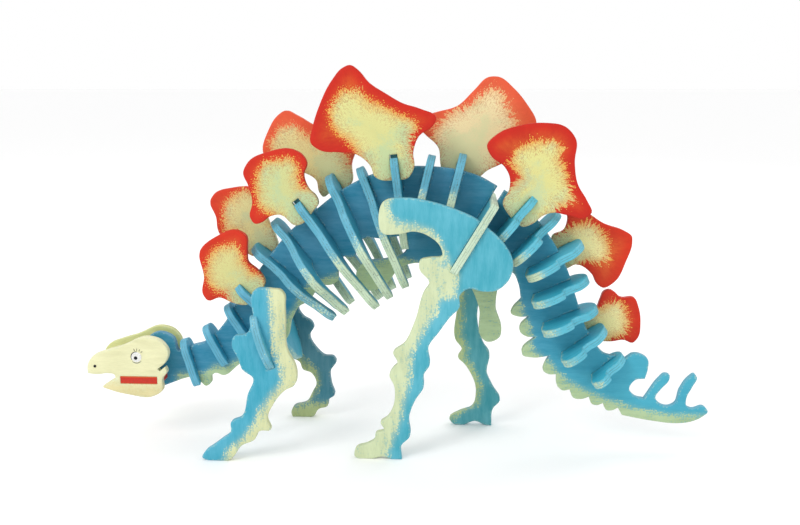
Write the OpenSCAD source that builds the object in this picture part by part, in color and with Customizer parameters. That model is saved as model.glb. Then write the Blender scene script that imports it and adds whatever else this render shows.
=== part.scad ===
// Slot-together plywood stegosaurus.
// Flat 3 mm sheets push together in halved slots, with no glue.
// X runs along the spine from the snout (-X) to the tail (+X), Z is up and
// the feet stand on Z = 0. -Y is the animal's left side.

/* [Sheet] */
// Thickness of the plywood
ply = 3; // [2.9:0.1:3.1]
// Play on each side of a sheet in its slot
play = 0.05; // [0.04:0.01:0.08]

/* [Spacing] */
// Distance of each head plate's middle from the centre plane
head_y = 9.5; // [9:0.5:11]
// Distance of each back plate's middle from the centre plane
plate_y = 8; // [7.8:0.1:8.2]
// Distance of each front leg's middle from the centre plane
front_leg_y = 27; // [25.5:0.5:28.5]
// Distance of each hind leg's middle from the centre plane
hind_leg_y = 21; // [21:0.5:23]

/* [Slots] */
// Depth of the notch in a cross plate that locks a back plate sideways
notch = 2; // [1.5:0.5:3]
// How far the slots of the two middle left back plates reach past their ribs
spare = 1.3; // [0.5:0.1:2]
// How far the end of a cross plate stands out of the leg that it holds
leg_overhang = 1.5; // [1:0.5:2.5]

/* [Curves] */
// Straight pieces drawn between two points of a curved outline
curve_steps = 4; // [3:1:8]

/* [Hidden] */

slot_w = ply + 2 * play;
sky = [0.40, 0.74, 0.82];
cream = [0.93, 0.91, 0.68];
red = [0.86, 0.22, 0.10];

// Stations: where each cross plate meets the bottom of its slot in the spine.
// [x, z, lean]; the lean is from upright, towards the tail.
at_neck_1 = [-85, 32.3, -16.5];
at_neck_2 = [-73.5, 38.1, -27.8];
at_neck_3 = [-64.1, 48.1, -33];
at_neck_4 = [-57, 59.8, -46];
at_shoulder = [-49.3, 47, -17.7];
at_rib_1 = [-45.8, 70.2, -52];
at_rib_2 = [-39.2, 78.9, -40.4];
at_rib_3 = [-29.5, 87.1, -37];
at_rib_4 = [-19.9, 95, -28];
at_rib_5 = [-10, 100.5, -22.3];
at_rib_6 = [1.1, 103, -7.3];
at_rib_7 = [11.1, 104.8, 13];
at_rib_8 = [22.5, 103.2, 14];
at_hip = [32.4, 90.4, 31];
at_tail_1 = [44.4, 90.8, 41];
at_tail_2 = [52.3, 83.2, 46.4];
at_tail_3 = [58.7, 74.8, 61.3];
at_tail_4 = [62.1, 63.9, 67.8];
at_tail_5 = [65.9, 52.3, 68.2];
at_tail_6 = [72.5, 41.4, 56];
at_tail_7 = [83.6, 32.4, 52];
from_above = [
    at_neck_1, at_neck_2, at_neck_3, at_neck_4,
    at_rib_1, at_rib_2, at_rib_3, at_rib_4, at_rib_5, at_rib_6, at_rib_7, at_rib_8,
    at_hip, at_tail_1, at_tail_2, at_tail_3, at_tail_4, at_tail_5, at_tail_6, at_tail_7
];

// Jaw bar: middle height, front and rear edge of its tabs, and where it meets the spine.
bar_z = 26.5;
bar_front = -111.5;
bar_rear = -96.5;
bar_stop = -104;

// ---- outlines ----

// Slope of a smooth outline at point b, between its neighbours a and c.
function slope(a, b, c) =
    let (p = norm(b - a), q = norm(c - b))
    ((b - a) * (q / p) + (c - b) * (p / q)) / (p + q);

// Point of a stretch from b to c at t, with slopes u and v at its ends.
function on_stretch(b, c, u, v, t) =
    let (d = norm(c - b), s = 1 - t)
    b * (s * s * (1 + 2 * t)) + c * (t * t * (3 - 2 * t)) + u * (d * s * s * t) - v * (d * s * t * t);

function flat(p) = [p.x, p.y];
function sharp(p) = len(p) > 2;

// Closed outline through the points. It bends smoothly through a point of two
// numbers, and turns a corner at a point with a third.
function outline(pts) =
    let (n = len(pts))
    [for (i = [0 : n - 1])
        let (
            a = pts[(i + n - 1) % n], b = pts[i], c = pts[(i + 1) % n], e = pts[(i + 2) % n],
            straight = (flat(c) - flat(b)) / norm(flat(c) - flat(b)),
            u = sharp(b) ? straight : slope(flat(a), flat(b), flat(c)),
            v = sharp(c) ? straight : slope(flat(b), flat(c), flat(e)),
            steps = sharp(b) && sharp(c) ? 1 : curve_steps
        )
        for (k = [0 : steps - 1]) on_stretch(flat(b), flat(c), u, v, k / steps)];

// The same half outline on the other side, in the opposite order.
function other_side(half) =
    [for (i = [len(half) - 1 : -1 : 0])
        len(half[i]) > 2 ? [-half[i].x, half[i].y, 1] : [-half[i].x, half[i].y]];

// ---- sheets ----

// A sheet standing lengthwise, its middle at y.
module lengthwise(pts, y) {
    translate([0, y, 0])
        rotate([90, 0, 0])
            linear_extrude(height = ply, center = true)
                polygon(outline(pts));
}

// A sheet standing crosswise, drawn as (y, height above its slot's end).
module crosswise(pts) {
    rotate([90, 0, 90])
        linear_extrude(height = ply, center = true)
            polygon(outline(pts));
}

module at(station) {
    translate([station.x, 0, station.y])
        rotate([0, station.z, 0])
            children();
}

// The room that a cross plate takes in a lengthwise sheet, from height low to high.
module slot_for(station, low, high) {
    at(station)
        translate([-slot_w / 2, -50, low])
            cube([slot_w, 100, high - low]);
}

// The room that a lengthwise sheet at y takes in a cross plate.
module slot_at(y, low, high) {
    translate([-ply, y - slot_w / 2, low])
        cube([2 * ply, slot_w, high - low]);
}

// ---- cross plates ----

// One side of a rib: from the slot down inside the prong, round its end, up its
// outside past the waist, which is level with the slot's end, and over the top.
function rib_side(up, down, bulge, waist, foot, top_w) = [
    [ply / 2, -6.5, 1],
    [bulge * 0.42, -down * 0.30],
    [bulge * 0.6, -down * 0.52],
    [foot - 1.4, -down + 5],
    [foot - 2.2, -down + 1.8],
    [foot, -down],
    [foot + 2.2, -down + 1.8],
    [foot * 0.4 + bulge * 0.6, -down * 0.70],
    [bulge, -down * 0.42],
    [waist * 0.35 + bulge * 0.65, -down * 0.18],
    [waist, 0],
    [max(top_w, waist * 0.4 + top_w * 0.6), 3],
    [top_w, max(4.5, up * 0.45)],
    [top_w, up - 2.5],
    [top_w - 2, up - 0.3],
];

// A rib that sits astride the spine. A side wider than the notch for a back plate
// at carry (-1 left, 1 right) holds that plate.
module rib(station, up, down, bulge, waist, foot, left_w, right_w, carry) {
    color(sky)
        at(station)
            difference() {
                crosswise(concat(
                    rib_side(up, down, bulge, waist, foot, right_w),
                    other_side(rib_side(up, down, bulge, waist, foot, left_w))
                ));
                slot_at(0, -down - 1, 0);
                if (carry != 0)
                    slot_at(carry * plate_y, up - notch, up + 2);
            }
}

// One side of a neck plate: a small oval astride the neck.
function neck_side(up, down, half_w) = [
    [ply / 2, -down + 1, 1],
    [half_w * 0.7, -down],
    [half_w, -down * 0.5],
    [half_w, 0],
    [half_w, up * 0.6],
    [half_w * 0.7, up - 0.6],
];

module neck_plate(station, up, down, left_w, right_w, carry) {
    color(sky)
        at(station)
            difference() {
                crosswise(concat(
                    neck_side(up, down, right_w),
                    other_side(neck_side(up, down, left_w))
                ));
                slot_at(0, -down - 1, 0);
                if (carry != 0)
                    slot_at(carry * plate_y, up - notch, up + 2);
            }
}

// One side of a tail plate: a broad lower part, a step, and a narrower top.
function tail_side(up, down, step, low_w, top_w) = [
    [ply / 2, -down, 1],
    [low_w - 1.5, -down],
    [low_w, -down + 1.5],
    [low_w, step - 1.5],
    [low_w - 1.5, step],
    [top_w + 1, step + 0.2],
    [top_w, step + 1.5],
    [top_w, up - 3.5],
    [top_w - 3.5, up - 0.2],
];

module tail_plate(station, up, down, step, low_w, left_w, right_w, carry) {
    color(sky)
        at(station)
            difference() {
                crosswise(concat(
                    tail_side(up, down, step, low_w, right_w),
                    other_side(tail_side(up, down, step, low_w, left_w))
                ));
                slot_at(0, -down - 1, 0);
                if (carry != 0)
                    slot_at(carry * plate_y, up - notch, up + 2);
            }
}

// Shoulder plate: goes up into the chest from below and ends in the front legs.
shoulder_low = -10;
shoulder_high = 11;
shoulder_side = [
    [0, 7, 1],
    [12, 7],
    [20, 10],
    [front_leg_y + ply / 2 + leg_overhang - 1.2, shoulder_high],
    [front_leg_y + ply / 2 + leg_overhang, shoulder_high - 1.2],
    [front_leg_y + ply / 2 + leg_overhang, shoulder_low + 1.4],
    [front_leg_y + ply / 2 + leg_overhang - 0.8, shoulder_low + 0.4, 1],
    [front_leg_y, shoulder_low - 1, 1],
    [front_leg_y - ply / 2 - play, shoulder_low - 3, 1],
    [front_leg_y - 4, shoulder_low - 7],
    [20, shoulder_low - 9],
    [12, shoulder_low - 7],
    [0, -8],
];

module shoulder() {
    half = [for (i = [0 : len(shoulder_side) - 2]) shoulder_side[i]];
    color(sky)
        at(at_shoulder)
            difference() {
                crosswise(concat(half, [[0, -8]], other_side([for (i = [1 : len(half) - 1]) half[i]])));
                slot_at(0, 0, 20);
                for (side = [-1, 1])
                    slot_at(side * front_leg_y, shoulder_low - 20, shoulder_low);
            }
}

// Hip plate: sits astride the spine and ends in the hind legs.
hip_low = -18;
hip_high = 11.5;
hip_out = hind_leg_y + ply / 2 + leg_overhang;
hip_side = [
    [0, hip_high],
    [hip_out - 1, hip_high, 1],
    [hip_out, hip_high - 1, 1],
    [hip_out, hip_low, 1],
    [hip_out - 1, hip_low - 1, 1],
    [hind_leg_y, hip_low - 1, 1],
    [hind_leg_y - ply / 2 - play, hip_low - 3, 1],
    [14, hip_low - 2],
    [8, hip_low + 2],
    [0, hip_low + 3],
];

module hip() {
    inner = [for (i = [1 : len(hip_side) - 2]) hip_side[i]];
    color(cream)
        at(at_hip)
            difference() {
                crosswise(concat([[0, hip_high]], inner, [[0, hip_low + 3]], other_side(inner)));
                slot_at(0, -50, 0);
                for (side = [-1, 1])
                    slot_at(side * hind_leg_y, hip_low - 20, hip_low);
            }
}

module neck_1() { neck_plate(at_neck_1, 9, 10.4, 5, 5, 0); }
module neck_2() { neck_plate(at_neck_2, 10, 7.6, 5.4, 5.4, 0); }
module neck_3() { neck_plate(at_neck_3, 9, 7, 6, 6, 0); }
module neck_4() { neck_plate(at_neck_4, 9.5, 3, 12, 6.2, -1); }

module rib_1() { rib(at_rib_1, 14, 27.6, 14.5, 8, 9.5, 6.2, 12, 1); }
module rib_2() { rib(at_rib_2, 15, 30.9, 20, 12.5, 9.5, 6.2, 6.2, 0); }
module rib_3() { rib(at_rib_3, 14.7, 37, 17, 12.5, 9, 12, 10, -1); }
module rib_4() { rib(at_rib_4, 13.4, 38, 19.5, 14, 9, 9, 12, 1); }
module rib_5() { rib(at_rib_5, 12.2, 37.4, 15, 6, 9.5, 5, 5, 0); }
module rib_6() { rib(at_rib_6, 13.7, 22, 15, 12, 10, 12, 10, -1); }
module rib_7() { rib(at_rib_7, 11.4, 15, 14, 10, 11, 9, 6.2, 0); }
module rib_8() { rib(at_rib_8, 12.2, 13, 14, 11, 11, 10, 12, 1); }

module tail_1() { tail_plate(at_tail_1, 14.7, 8, 3.7, 17.5, 12.5, 12.5, -1); }
module tail_2() { tail_plate(at_tail_2, 15, 8.7, 4.3, 18, 6.2, 12.5, 0); }
module tail_3() { tail_plate(at_tail_3, 14.4, 7.5, 4.5, 18, 12.5, 12.5, 1); }
module tail_4() { tail_plate(at_tail_4, 13.3, 8.1, 3.4, 18, 12.5, 6.2, 0); }
module tail_5() { tail_plate(at_tail_5, 13.3, 7.7, 3.3, 17.5, 12.5, 6.2, 0); }
module tail_6() { tail_plate(at_tail_6, 11.3, 6.9, 1.7, 17, 11, 11.5, 1); }
module tail_7() { tail_plate(at_tail_7, 8.2, 6, 0, 15.8, 9.5, 6.2, 0); }

// ---- spine ----

spine_points = [
    // head end and neck
    [-110, 21], [-110, 32], [-105, 40], [-98, 44.3], [-92, 42], [-90, 36.5], [-84, 39],
    [-79, 40.5], [-74, 44.5], [-69.5, 50], [-65, 57.5],
    // back
    [-50.5, 77.5], [-43.5, 86], [-34.5, 93.5], [-21.5, 103.5], [-11, 109], [3, 112.5],
    [15, 112.6], [24, 111.5], [33.5, 108.5], [38, 106], [44, 102.5],
    // top of the tail, with the fin at its end
    [61, 84.5], [67.5, 72.5], [71, 62], [76, 48], [80, 41.5], [83, 38.5], [89.5, 37.6],
    [97, 38.5], [100.3, 36.5], [100.5, 32], [99.5, 28.3, 1], [96, 27.8], [93.5, 24],
    [96, 20.8], [99.5, 20, 1],
    // two spikes and the tip
    [105.5, 29], [107, 30.4], [109.2, 30], [109.2, 28.3], [106, 24], [104, 20.5],
    [105.5, 18.2], [109, 17], [111.5, 18], [113.5, 24], [117, 29.3], [119, 30.6],
    [120, 29.2], [118.5, 25.5], [116.2, 20], [116.5, 17.2], [118.5, 16.2],
    [123.3, 17.2], [125, 15.1], [123, 13],
    // underside of the tail, with its teeth
    [118.5, 10.8], [112.5, 10], [103.5, 10.8], [94.5, 12.3], [91, 13, 1], [89.3, 16, 1],
    [87.5, 15], [84.8, 14.9], [83.3, 17.8, 1], [81, 16.9], [79, 17.3], [77.6, 20.3, 1],
    [75, 19.4], [71.4, 19.8], [69.8, 23.2, 1], [67, 22.8], [65, 24.4], [64.3, 29.5, 1],
    [61.5, 29.4], [59, 31], [59.6, 34], [61.3, 37, 1], [54, 36.3], [50.6, 37.3], [50.3, 39],
    [55.6, 44.8, 1], [52.5, 44.8], [49.3, 47.2], [49.3, 49], [52.8, 53.2, 1], [49, 53],
    [45.6, 54.6], [46, 56], [49.5, 60.3, 1], [48.5, 66], [45.8, 71], [42.5, 71.5],
    // prong that points down behind the hip
    [40.2, 64], [39.6, 57], [42, 47.5], [41.5, 44.8], [36, 42.6], [34.2, 44], [33, 56],
    [30, 64], [26, 70],
    // prong that points forward under the belly
    [16, 73], [8, 74.3], [1.5, 72.5], [-4, 66], [-11, 62.8], [-15, 65.5], [-16.3, 70],
    [-13.5, 74], [-4, 76], [3, 78.5], [4.5, 81.5], [3, 84.2],
    // belly and chest
    [-6, 84], [-13.5, 83.8], [-15.5, 80, 1], [-17, 76.8], [-22, 76.3], [-23.5, 71, 1],
    [-24, 66.5], [-28, 64.8], [-31.5, 66.5, 1], [-33, 62], [-36, 58], [-39.5, 56],
    [-43, 50, 1], [-45, 42.5], [-50, 39], [-55, 41.5], [-59, 41, 1], [-61, 35],
    [-66, 30.3], [-71.5, 26.4], [-75, 27.3], [-76.8, 26, 1], [-77, 23], [-79, 21.7],
    [-81.3, 23.5], [-84, 25.4], [-88, 24.8], [-92, 23.3], [-97, 21.4], [-103, 20]
];

module spine() {
    color(sky)
        difference() {
            lengthwise(spine_points, 0);
            for (s = from_above)
                slot_for(s, -play, 22);
            slot_for(at_shoulder, -20, play);
            translate([-130, -5, bar_z - slot_w / 2])
                cube([130 + bar_stop + play, 10, slot_w]);
        }
}

// ---- head ----

head_points = [
    [-125, 29, 1], [-125, 32], [-122.5, 36.3], [-117, 38.7], [-110.5, 40.7], [-99.7, 44.6],
    [-94.5, 43], [-91.4, 38.2], [-92.3, 34.9], [-93.5, 33.2, 1], [-92.3, 30.5],
    [-94.3, 27.2], [-94.4, 22.5], [-98.5, 19.8], [-108.5, 20.4], [-115.5, 22], [-119, 23.6],
    [-117.5, 24.8], [-115.3, 26.2], [-113.7, 27.3], [-114, 28.5], [-116.8, 29.1], [-121, 28.6]
];

module head(side) {
    color(cream)
        difference() {
            lengthwise(head_points, side * head_y);
            // mortise for the jaw bar
            translate([bar_front - play, -20, bar_z - slot_w / 2])
                cube([bar_rear - bar_front + 2 * play, 40, slot_w]);
            // saw cut behind the cheek
            translate([-95.7, 0, 30.8])
                rotate([0, -40, 0])
                    translate([0, -20, -0.6])
                        cube([8, 40, 1.2]);
        }
}

module head_left() { head(-1); }
module head_right() { head(1); }

module jaw_bar() {
    inner = head_y - ply / 2 - play;
    outer = head_y + ply / 2;
    color(red)
        translate([0, 0, bar_z])
            difference() {
                union() {
                    translate([bar_front, -outer, -ply / 2])
                        cube([bar_rear - bar_front, 2 * outer, ply]);
                    translate([bar_front - 1.5, -inner, -ply / 2])
                        cube([bar_rear - bar_front + 3, 2 * inner, ply]);
                }
                translate([bar_stop, -slot_w / 2, -ply])
                    cube([20, slot_w, 2 * ply]);
            }
}

// ---- legs ----

front_left_points = [
    [-53.2, 62], [-53, 66.4], [-51.4, 68.4], [-48, 68.8], [-44.6, 68.5], [-42.2, 68.2],
    [-40.7, 66.6], [-40.5, 62], [-40.4, 57], [-39.8, 44.5], [-37, 39],
    [-36.4, 36], [-37.5, 31], [-41, 29], [-46, 22.8], [-48.3, 17.5], [-47, 13],
    [-51.5, 12.3], [-53.3, 9], [-58.5, 6.3], [-62.2, 1.4], [-64, 0, 1], [-72, 0, 1],
    [-74.2, 1.2], [-73, 3.6], [-69.6, 6.2], [-66.5, 8.6], [-62.6, 12], [-62.4, 15.8],
    [-58.5, 17.8], [-55.4, 27.5], [-53.3, 33.5], [-57.5, 37], [-58.8, 41], [-61.2, 46.5],
    [-60.5, 49.7], [-55.5, 51], [-53.2, 57]
];

front_right_points = [
    [-52.6, 62], [-52.4, 66.4], [-51, 68.4], [-48, 68.8], [-44.6, 68.5], [-42.2, 68.2],
    [-40.7, 66.6], [-40.7, 62], [-41.5, 56], [-44.5, 48.5],
    [-42.5, 45.5], [-38.8, 43], [-38, 41], [-39.8, 37.2], [-36.7, 31], [-33.5, 28.2],
    [-29.5, 27.6], [-28.4, 26], [-31, 21], [-30.6, 15.5], [-29.4, 10], [-31.6, 8.4],
    [-32.4, 5.2], [-36.5, 3.6], [-38.8, 0.4], [-40, 0, 1], [-48, 0, 1], [-48.5, 1.5],
    [-47.6, 4.5], [-41.5, 7], [-39, 11.5], [-37.2, 15.4], [-39.5, 20.2],
    [-43, 21.6], [-44.5, 25], [-49, 27], [-53, 31], [-57, 37], [-60, 45], [-60, 49],
    [-55.5, 51], [-53.2, 57]
];

module front_leg(points, side) {
    color(sky)
        difference() {
            lengthwise(points, side * front_leg_y);
            slot_for(at_shoulder, shoulder_low - play, 30);
        }
}

module front_leg_left() { front_leg(front_left_points, -1); }
module front_leg_right() { front_leg(front_right_points, 1); }

hind_left_points = [
    [-3.8, 101], [-5.4, 95.5], [-4, 89.3], [2.5, 89], [8, 90], [13.5, 88.3], [18, 84], [18.6, 81],
    [14, 80.2], [10.2, 79], [10, 75.8], [13.8, 70.5], [11.8, 67], [8.2, 55], [4.2, 46.6],
    [0, 43], [1.7, 38.8], [0, 37], [-1.4, 34.2], [0.3, 30], [-2.4, 17], [-4.9, 15],
    [-3.5, 11.8], [-6.8, 10.5], [-7.2, 8], [-9.8, 6.2], [-14.6, 4.2], [-15, 0.8], [-14, 0, 1],
    [-8, 0, 1], [-4, 1], [-0.5, 0, 1], [3.4, 0, 1], [3.2, 5.6],
    [6.4, 9.2], [6.2, 17.2], [8.6, 24.2], [11.8, 29.5], [11.9, 34.6], [14, 38],
    [13.6, 45.5], [17.6, 51.4], [21.7, 57.2], [25.4, 61.5], [25.2, 65.5], [28.5, 68.4],
    [34, 67.4], [39, 67.8], [43.6, 71.8], [45.2, 78.5], [42.2, 85], [36, 91.2], [31.4, 94.8],
    [24, 98.2], [13.5, 101.4], [4.5, 102.6]
];

hind_right_points = [
    [-3.8, 101], [-5.4, 95.5], [-4, 89.3], [2.5, 89], [8, 90], [13.5, 88.3], [18, 84], [18.6, 81],
    [15, 79], [17, 70], [25, 62], [24, 51], [23.6, 37.5], [26.2, 33.5], [24.6, 30.2],
    [27.5, 27], [32.4, 15.5], [30.8, 8.2], [26, 6.2], [21.2, 2.6], [23, 0.4], [25, 0, 1], [27.5, 0, 1], [32, 1.8],
    [36, 0.4], [37, 0, 1], [39.2, 0, 1], [39.8, 7.6], [42.7, 11.3], [39.5, 17.5], [37, 23],
    [37.6, 33], [35.5, 36], [33.6, 41], [32.8, 52], [36, 62], [43.6, 71.8], [45.2, 78.5],
    [42.2, 85], [36, 91.2], [31.4, 94.8], [24, 98.2], [13.5, 101.4], [4.5, 102.6]
];

module hind_leg(points, side) {
    color(sky)
        difference() {
            lengthwise(points, side * hind_leg_y);
            slot_for(at_hip, hip_low - play, 40);
        }
}

module hind_leg_left() { hind_leg(hind_left_points, -1); }
module hind_leg_right() { hind_leg(hind_right_points, 1); }

// ---- back plates ----

// A back plate on the cross plate at a station, with its slot's end at that height.
module back_plate(points, side, station, slot_end) {
    color(red)
        difference() {
            lengthwise(points, side * plate_y);
            slot_for(station, -20, slot_end);
        }
}

left_1_points = [
    [-77.5, 79.5], [-70, 85.8], [-62.8, 88], [-59, 85.8], [-58.6, 80], [-58.4, 75.5], [-54.5, 72],
    [-51.8, 67.5], [-53.5, 63.5], [-59.3, 58], [-65.5, 59], [-70, 60.8], [-75, 59.6], [-76.8, 62],
    [-76.2, 69]
];
left_2_points = [
    [-59.3, 110.5], [-57, 115], [-49, 118.8], [-40.5, 119.8], [-36, 117.5], [-34.3, 114.3],
    [-35.6, 110], [-33.5, 104.2], [-31, 101.8], [-30, 99], [-32.3, 95.6], [-36, 91],
    [-39, 90], [-45, 94.2], [-49.5, 93.3], [-52.3, 91.2], [-55.2, 90.6], [-57, 93],
    [-56, 99], [-57.4, 105.5]
];
left_3_points = [
    [-17.2, 151.6], [-14.5, 150], [-10, 145], [-3.5, 140.8], [2.5, 137.4], [9.5, 135.2],
    [15.7, 131.8], [14.8, 129.3], [9, 124.8], [6.8, 118.5], [7.2, 112.8], [5, 109],
    [-0.5, 108], [-5.8, 108.1], [-7.8, 109.2], [-9.5, 113.2], [-15, 117.8], [-21.3, 118.6], [-29, 119.3],
    [-32.7, 122.2], [-32, 127.5], [-29.2, 136.2], [-24, 146.2], [-20, 150.6]
];
left_4_points = [
    [35, 121.3], [39, 125.8], [47, 128.9], [57, 130], [64.5, 128.6], [68.6, 123.7], [68.3, 115.4],
    [69.7, 107], [73.5, 100.5], [75.3, 96], [72.9, 94], [66, 95], [60.6, 95.9], [57, 94.8],
    [53, 91.6], [48.9, 90.4], [46.5, 92.2], [43, 95.8], [41.4, 99], [43.8, 104.6], [43.9, 109.2],
    [41.6, 113.6], [37, 117]
];
right_1_points = [
    [-76.8, 97.6], [-74.6, 100.9], [-68, 102.9], [-60, 103.4], [-54, 101.5], [-53.2, 97],
    [-53.5, 91.5], [-50.5, 84], [-49.5, 79], [-53, 76.5], [-60, 75], [-64, 77.5],
    [-69, 79.5], [-73.9, 85.2], [-74.6, 90.8]
];
right_2_points = [
    [-45.4, 134], [-40, 131.9], [-33.5, 128.2], [-24, 125.5], [-17.5, 123.5], [-17, 119], [-18.7, 113],
    [-18.7, 105.5], [-21, 102.8], [-26, 102.5], [-30.5, 99.6], [-32, 101.5], [-33, 106], [-40, 110],
    [-50, 112], [-54.5, 117.2], [-52.3, 126], [-48, 132.4]
];
right_3_points = [
    [9, 131.5], [14.2, 133.3], [23.7, 136.2], [30, 142.2], [35.5, 147.2], [39.5, 147.3],
    [45.5, 142.9], [50.7, 136.8], [54.6, 129.5], [52, 121.5], [46, 116], [40.6, 113], [35.5, 110.5],
    [32, 107.6], [25.5, 105.8], [19, 106.5], [17, 112.3], [16, 119.6], [10.5, 125], [7.5, 128.5]
];
right_4_points = [
    [67.5, 95], [74, 94.5], [82.5, 89.6], [91, 86.5], [93.4, 84.8], [93.7, 82.3], [91.6, 74.7],
    [87, 65.8], [82.8, 63.6], [80, 65.5], [78.6, 68.4], [71.5, 73], [67.5, 71.3], [64.5, 73],
    [61.8, 80], [62, 84.6], [66.5, 87], [67.8, 91]
];
right_5_points = [
    [85.6, 62.8], [87.8, 61.6], [89.6, 59.9], [95.5, 59.6], [97.2, 56], [98.3, 49.4],
    [97.4, 43], [95.5, 41], [91.9, 42.1], [86.5, 41.4], [81, 42], [77, 45], [75.2, 50], [77.2, 54.2],
    [80.4, 55.4], [81.7, 58.6], [83.4, 62.2]
];

module plate_left_1() { back_plate(left_1_points, -1, at_neck_4, 9.5 - notch + play); }
module plate_left_2() { back_plate(left_2_points, -1, at_rib_3, 14.7 + spare); }
module plate_left_3() { back_plate(left_3_points, -1, at_rib_6, 13.7 + spare); }
module plate_left_4() { back_plate(left_4_points, -1, at_tail_1, 14.7 - notch + play); }
module plate_right_1() { back_plate(right_1_points, 1, at_rib_1, 14 - notch + play); }
module plate_right_2() { back_plate(right_2_points, 1, at_rib_4, 13.4 - notch + play); }
module plate_right_3() { back_plate(right_3_points, 1, at_rib_8, 12.2 - notch + play); }
module plate_right_4() { back_plate(right_4_points, 1, at_tail_3, 14.4 - notch + play); }
module plate_right_5() { back_plate(right_5_points, 1, at_tail_6, 11.3 - notch + play); }

spine();
jaw_bar();
head_left();
head_right();
neck_1();
neck_2();
neck_3();
neck_4();
shoulder();
rib_1();
rib_2();
rib_3();
rib_4();
rib_5();
rib_6();
rib_7();
rib_8();
hip();
tail_1();
tail_2();
tail_3();
tail_4();
tail_5();
tail_6();
tail_7();
front_leg_left();
front_leg_right();
hind_leg_left();
hind_leg_right();
plate_left_1();
plate_left_2();
plate_left_3();
plate_left_4();
plate_right_1();
plate_right_2();
plate_right_3();
plate_right_4();
plate_right_5();
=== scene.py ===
"""Looks of the slot-together plywood stegosaurus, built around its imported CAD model.

Every CAD node is one flat sheet. Each is rebuilt from its own outline as a finer sheet
with eased rims, then hand-painted by masks that are kept on its vertices.
Lengths are in millimetres until a mesh is made.
"""

import math

import bpy
import numpy as np
from mathutils import Matrix, Vector
from mathutils.geometry import delaunay_2d_cdt


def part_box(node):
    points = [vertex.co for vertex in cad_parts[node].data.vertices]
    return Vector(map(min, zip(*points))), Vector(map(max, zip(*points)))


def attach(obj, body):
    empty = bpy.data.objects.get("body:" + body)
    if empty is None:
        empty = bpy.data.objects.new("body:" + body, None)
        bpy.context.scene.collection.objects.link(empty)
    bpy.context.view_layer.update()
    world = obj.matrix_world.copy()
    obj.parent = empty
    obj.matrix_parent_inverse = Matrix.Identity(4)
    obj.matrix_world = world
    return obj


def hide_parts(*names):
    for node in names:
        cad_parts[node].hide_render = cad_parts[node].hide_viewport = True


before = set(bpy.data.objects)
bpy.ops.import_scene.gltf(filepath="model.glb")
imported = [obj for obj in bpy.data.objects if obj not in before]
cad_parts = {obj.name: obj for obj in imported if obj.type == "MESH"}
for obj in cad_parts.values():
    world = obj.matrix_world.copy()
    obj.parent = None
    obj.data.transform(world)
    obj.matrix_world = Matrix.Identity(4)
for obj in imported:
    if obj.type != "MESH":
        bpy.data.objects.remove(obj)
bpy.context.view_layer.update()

MM = 0.001
RIM_RADIUS = 0.3  # the eased edge between a sheet's face and its cut edge
SHORTEST = 0.12  # a shorter stretch of a CAD outline is left out
OUTLINE_STEP = 0.7  # spacing of points along an outline
FACE_STEP = 1.3  # spacing of points across a face
ROW_SHARE = 0.87  # spacing of a face's rows of points, as a share of FACE_STEP
ROOM_SHARE = 0.55  # how far those points keep clear of the rim, as a share of it
JITTER = 0.12  # how far each of them is moved at random, as a share of it
EASE_ROUNDS = 6  # how often a rim that runs too near another is drawn in less
EASE_FIT = 0.93  # the share of its own inset that it has to keep clear of every outline
EASE_CUT = 0.7  # how much of the inset each round leaves
PLY_SINK = 0.04  # how far the middle ply lies behind the outer two
PLY_STEP = 0.12  # height of the slope between two plies
GLUE_LINE = 0.3  # where a glue line lies, as a share of half the sheet's thickness
CORNER_TURN = math.radians(24)  # a sharper turn than this is a corner
SEED = 7
STROKE_TURN = 22  # how fine a back plate's strokes are round its core
STROKE_REACH = 0.35  # and outwards from it
DRY_BRUSH = 3.2  # how far the red's strokes and flecks reach over a core
PAINT_LIGHT = 0.9  # how much darker than it looks in this light a paint is
BRUSH_RELIEF, DAB_RELIEF = 0.00012, 0.00003  # how proud brushed paint stands, in metres
EDGE_TINT = 0.12  # how much paler the blue is on a cut edge
CREAM_FADE = (-4.2, 3.2)  # cream fades in between these depths inside its area's outline
TAIL_FADE = (30, 90)  # the spine's blue turns paler between these places along it
SPOT_SHIFT = 400  # how far the grain is shifted, so that no two sheets show the same

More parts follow.
